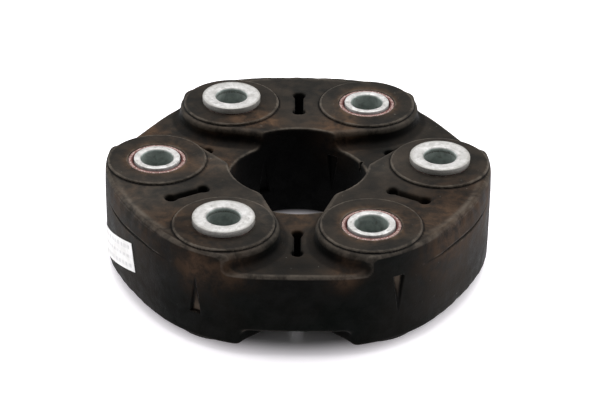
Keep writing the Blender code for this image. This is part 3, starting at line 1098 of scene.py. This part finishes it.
def grid_faces(rows, wrap_rows, wrap_columns):
    """Points and triangles of a grid of points, rows x columns x 3."""
    points, quads = grid_quads(rows, wrap_rows, wrap_columns)
    return points, halved(quads)


def joined(parts):
    """Several (points, faces) as one."""
    points, faces, first = [], [], 0
    for spots, triangles in parts:
        points.append(spots)
        faces.append(triangles + first)
        first += len(spots)
    return np.concatenate(points), np.concatenate(faces)


def make_cords(material):
    loops = []
    for degrees in THICK_LINKS:
        loops.append(cord_loop(degrees, DRIVE_CORD_LOW, DRIVE_CORD_HIGH))
        loops.append(cord_loop(degrees, -DRIVE_CORD_HIGH, -DRIVE_CORD_LOW))
    for degrees in THIN_LINKS:
        loops.append(cord_loop(degrees, -COAST_CORD_HIGH, COAST_CORD_HIGH))
    stood_for = [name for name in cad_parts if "cord" in name]
    points, faces = joined(loops)
    for link, quarter, bodies, ends, piece in quartered(points, faces, CORD_SNAP):
        mesh = mesh_of(f"cords_{link}_{quarter}", *piece)
        keep(mesh, "rest", piece[0])
        mesh.set_sharp_from_angle(angle=CORD_SHARP)
        obj = new_object(mesh.name, mesh, material)
        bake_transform(obj)
        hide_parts(*stood_for)


def rounded(profile, radius):
    """The closed profile with each corner turned into a small arc."""
    made = []
    count = len(profile)
    for i in range(count):
        before, corner, after = (
            np.array(profile[(i + k) % count], float) for k in (-1, 0, 1)
        )
        to_before, to_after = before - corner, after - corner
        room = min(np.linalg.norm(to_before), np.linalg.norm(to_after))
        reach = min(radius, room * CORNER_SHARE)
        start = corner + to_before / np.linalg.norm(to_before) * reach
        end = corner + to_after / np.linalg.norm(to_after) * reach
        for t in np.linspace(0, 1, CORNER_STEPS + 1):
            made.append(start * (1 - t) ** 2 + 2 * corner * t * (1 - t) + end * t**2)
    return np.array(made)


def turned_mesh(name, profile, radius, materials, inner_r=0.0):
    """The closed (radius, z) profile turned round Z. Faces inside inner_r take the
    second material."""
    line = rounded(profile, radius)
    turns = np.linspace(0, math.tau, TURN_STEPS, endpoint=False)[:, None]
    x, y = line[:, 0] * np.cos(turns), line[:, 0] * np.sin(turns)
    rows = np.stack((x, y, np.broadcast_to(line[:, 1], x.shape)), -1)
    mesh = mesh_of(name, *grid_quads(rows, True, True))
    for material in materials:
        mesh.materials.append(material)
    if inner_r:
        for face in mesh.polygons:
            face.material_index = int(math.hypot(*face.center[:2]) < inner_r)
    return mesh


def make_bushes(zinc, shaded_bore, rust):
    sleeve = (
        (BORE_R + TOP_CHAMFER, COLLAR_TOP),
        (COLLAR_R, COLLAR_TOP),
        (COLLAR_R, COLLAR_UNDER),
        (SLEEVE_END_R, COLLAR_UNDER),
        (SLEEVE_END_R, BARREL_HALF),
        (BARREL_R, BARREL_HALF),
        (BARREL_R, -BARREL_HALF),
        (SLEEVE_END_R, -BARREL_HALF),
        (SLEEVE_END_R, -SLEEVE_HALF),
        (BORE_R + END_CHAMFER, -SLEEVE_HALF),
        (BORE_R, -SLEEVE_HALF + END_CHAMFER_HIGH),
        (BORE_R, COLLAR_TOP - TOP_CHAMFER),
    )
    outer = (
        (DISC_BORE, DISC_NECK_HIGH),
        (NECK_R, DISC_NECK_HIGH),
        (NECK_R, FLANGE_TOP),
        (DISC_R, FLANGE_TOP),
        (DISC_R, OUTER_DISC_LOW),
        (DISC_BORE, OUTER_DISC_LOW),
    )
    inside = BORE_R + BORE_SPARE
    sleeve_mesh = turned_mesh("sleeve", sleeve, SLEEVE_ROUND, (zinc, shaded_bore), inside)
    disc_mesh = turned_mesh("outer_disc", outer, DISC_ROUND, (rust,))
    for side, angles, collar_under in (
        ("driving", DRIVING, False),
        ("driven", DRIVEN, True),
    ):
        for number, degrees in enumerate(angles, start=1):
            standing = Matrix.Rotation(math.radians(degrees), 4, "Z")
            standing = standing @ Matrix.Translation((PITCH_R, 0, 0))
            over = Matrix.Rotation(math.pi, 4, "X")
            tag = f"{side}_{number}"
            obj = new_object(f"turned_sleeve_{tag}", sleeve_mesh)
            obj.matrix_world = standing @ over if collar_under else standing
            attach(obj, f"{side}_bushes")
            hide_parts(f"bush_sleeve_{tag}")
            for end, placing in (("top", standing), ("bottom", standing @ over)):
                obj = new_object(f"turned_disc_{end}_{tag}", disc_mesh)
                obj.matrix_world = placing
                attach(obj, f"{side}_bushes")
                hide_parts(f"outer_disc_{end}_{tag}")
                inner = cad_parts[f"inner_disc_{end}_{tag}"]
                inner.data.materials.clear()
                inner.data.materials.append(rust)


def label_sheet(off):
    """The label as a grid of points wrapped round the wall, this far off it."""
    across = np.linspace(-0.5, 0.5, LABEL_STEPS[0] + 1) * LABEL_LENGTH
    up = np.linspace(-0.5, 0.5, LABEL_STEPS[1] + 1) * LABEL_HEIGHT
    flat_x, flat_y = np.meshgrid(across, up)
    x = flat_x * math.cos(LABEL_TILT) - flat_y * math.sin(LABEL_LEAN)
    y = flat_x * math.sin(LABEL_TILT) + flat_y * math.cos(LABEL_LEAN)
    degrees = LABEL_ANGLE + np.degrees(x / WALL_R)
    radius = wall_at(degrees) + off
    turn = np.radians(degrees)
    return np.stack((radius * np.cos(turn), radius * np.sin(turn), LABEL_Z + y), -1)


def label_marks(flat):
    """Three faint rows of plain dashes, which say nothing."""
    x, y = flat[:, 0] / LABEL_LENGTH, flat[:, 1] / LABEL_HEIGHT
    across = y * MARK_ROWS + 0.5
    row = np.abs(across % 1 - 0.5) < MARK_FILL
    short, long = MARK_WAVES
    wave = np.sin(x * short) + np.sin(x * long + MARK_SHIFT * np.floor(across))
    dash = wave > MARK_GAP
    inside = (np.abs(x) < MARK_SIZE[0]) & (np.abs(y) < MARK_SIZE[1])
    return (row & dash & inside).astype(float)


def label_solid():
    """Points and triangles of the label's front, its back and the rim between."""
    front = label_sheet(LABEL_OFF + LABEL_THICK)
    back = label_sheet(LABEL_OFF)
    front_points, front_faces = grid_faces(front, False, False)
    back_points, back_faces = grid_faces(back, False, False)
    count, width = front.shape[:2]
    rim = np.concatenate(
        (
            np.arange(width),
            np.arange(1, count) * width + width - 1,
            (count - 1) * width + np.arange(width - 2, -1, -1),
            np.arange(count - 2, 0, -1) * width,
        )
    )
    after = np.roll(rim, -1)
    behind = len(front_points)
    sides = np.concatenate(
        (
            np.stack((rim, rim + behind, after + behind), 1),
            np.stack((rim, after + behind, after), 1),
        )
    )
    points = np.concatenate((front_points, back_points))
    return points, np.concatenate((front_faces, back_faces[:, ::-1] + behind, sides))


def make_label(material):
    points, faces = label_solid()
    for link, quarter, bodies, ends, piece in quartered(points, faces, LABEL_SNAP):
        mesh = mesh_of(f"label_{link}_{quarter}", *piece)
        flat = flat_of(piece[0])
        keep(mesh, "rest", piece[0])
        keep(mesh, "flat", flat)
        keep(mesh, "marks", label_marks(flat))
        mesh.set_sharp_from_angle(angle=LABEL_SHARP)
        obj = new_object(mesh.name, mesh, material)
        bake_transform(obj)
        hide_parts("blank_label")


def flat_of(points):
    """Where each point lies on the flat label: label_sheet's turn, undone."""
    degrees = np.degrees(np.arctan2(points[:, 1], points[:, 0])) % 360
    x = np.radians(degrees - LABEL_ANGLE) * WALL_R
    y = points[:, 2] - LABEL_Z
    turn = np.array(
        (
            (math.cos(LABEL_TILT), -math.sin(LABEL_LEAN)),
            (math.sin(LABEL_TILT), math.cos(LABEL_LEAN)),
        )
    )
    flat = np.stack((x, y), 1) @ np.linalg.inv(turn).T
    return np.pad(flat, ((0, 0), (0, 1)))


# -------------------------------------------------------------- surroundings


def make_camera():
    data = bpy.data.cameras.new("camera")
    data.lens = CAMERA_LENS
    data.sensor_width = SENSOR_WIDTH
    camera = bpy.data.objects.new("camera", data)
    bpy.context.scene.collection.objects.link(camera)
    forward = Vector((0, math.cos(CAMERA_ELEVATION), -math.sin(CAMERA_ELEVATION)))
    right = Vector((1, 0, 0))
    up = right.cross(forward)
    place = Vector((0, 0, AIM_Z)) - CAMERA_FAR * forward
    place += CAMERA_RIGHT * right + CAMERA_UP * up
    c, s = math.cos(CAMERA_ROLL), math.sin(CAMERA_ROLL)
    x_axis = c * right - s * up
    y_axis = s * right + c * up
    turn = Matrix((x_axis, y_axis, -forward)).transposed()
    camera.matrix_world = Matrix.Translation(place) @ turn.to_4x4()
    bpy.context.scene.camera = camera


def make_floor(material):
    steps = np.linspace(-FLOOR_REACH, FLOOR_REACH, FLOOR_STEPS)
    x, y = np.meshgrid(steps, steps)
    rows = np.stack((x, y, np.zeros_like(x)), axis=-1)
    mesh = mesh_of("floor", *grid_faces(rows, False, False))
    floor = new_object("floor", mesh, material)
    floor.location.z = FLOOR_Z - FLOOR_GAP


def area_light(name, place, size, power):
    """A round lamp that points at the middle of the part."""
    data = bpy.data.lights.new(name, "AREA")
    data.shape = "DISK"
    data.size = size
    data.energy = power
    light = bpy.data.objects.new(name, data)
    bpy.context.scene.collection.objects.link(light)
    light.location = place
    light.rotation_euler = (-Vector(place)).to_track_quat("-Z", "Y").to_euler()


def make_lights():
    world = bpy.data.worlds.new("studio")
    world.use_nodes = True
    tree = world.node_tree
    background = tree.nodes["Background"]
    background.inputs["Color"].default_value = (1.0, 1.0, 1.0, 1)
    # Brighter overhead than at the horizon
    direction = tree.nodes.new("ShaderNodeTexCoord").outputs["Generated"]
    parts = tree.nodes.new("ShaderNodeSeparateXYZ")
    ramp = tree.nodes.new("ShaderNodeMapRange")
    tree.links.new(direction, parts.inputs[0])
    tree.links.new(parts.outputs[2], ramp.inputs[0])
    for socket, value in zip(ramp.inputs[1:5], WORLD_RAMP, strict=True):
        socket.default_value = value
    tree.links.new(ramp.outputs[0], background.inputs["Strength"])
    bpy.context.scene.world = world
    for lamp in LAMPS:
        area_light(*lamp)
    bpy.context.scene.view_settings.view_transform = "Standard"


make_camera()
make_lights()
make_floor(floor_material())
make_rubber(rubber_material())
make_cords(cord_material())
# The bore's zinc is a darker copy, which paints shade inside the bore
make_bushes(
    zinc_material("zinc_plate", ZINC_PLATE),
    zinc_material("zinc_bore_shaded", ZINC_BORE_SHADED),
    rust_material(),
)
make_label(paper_material())
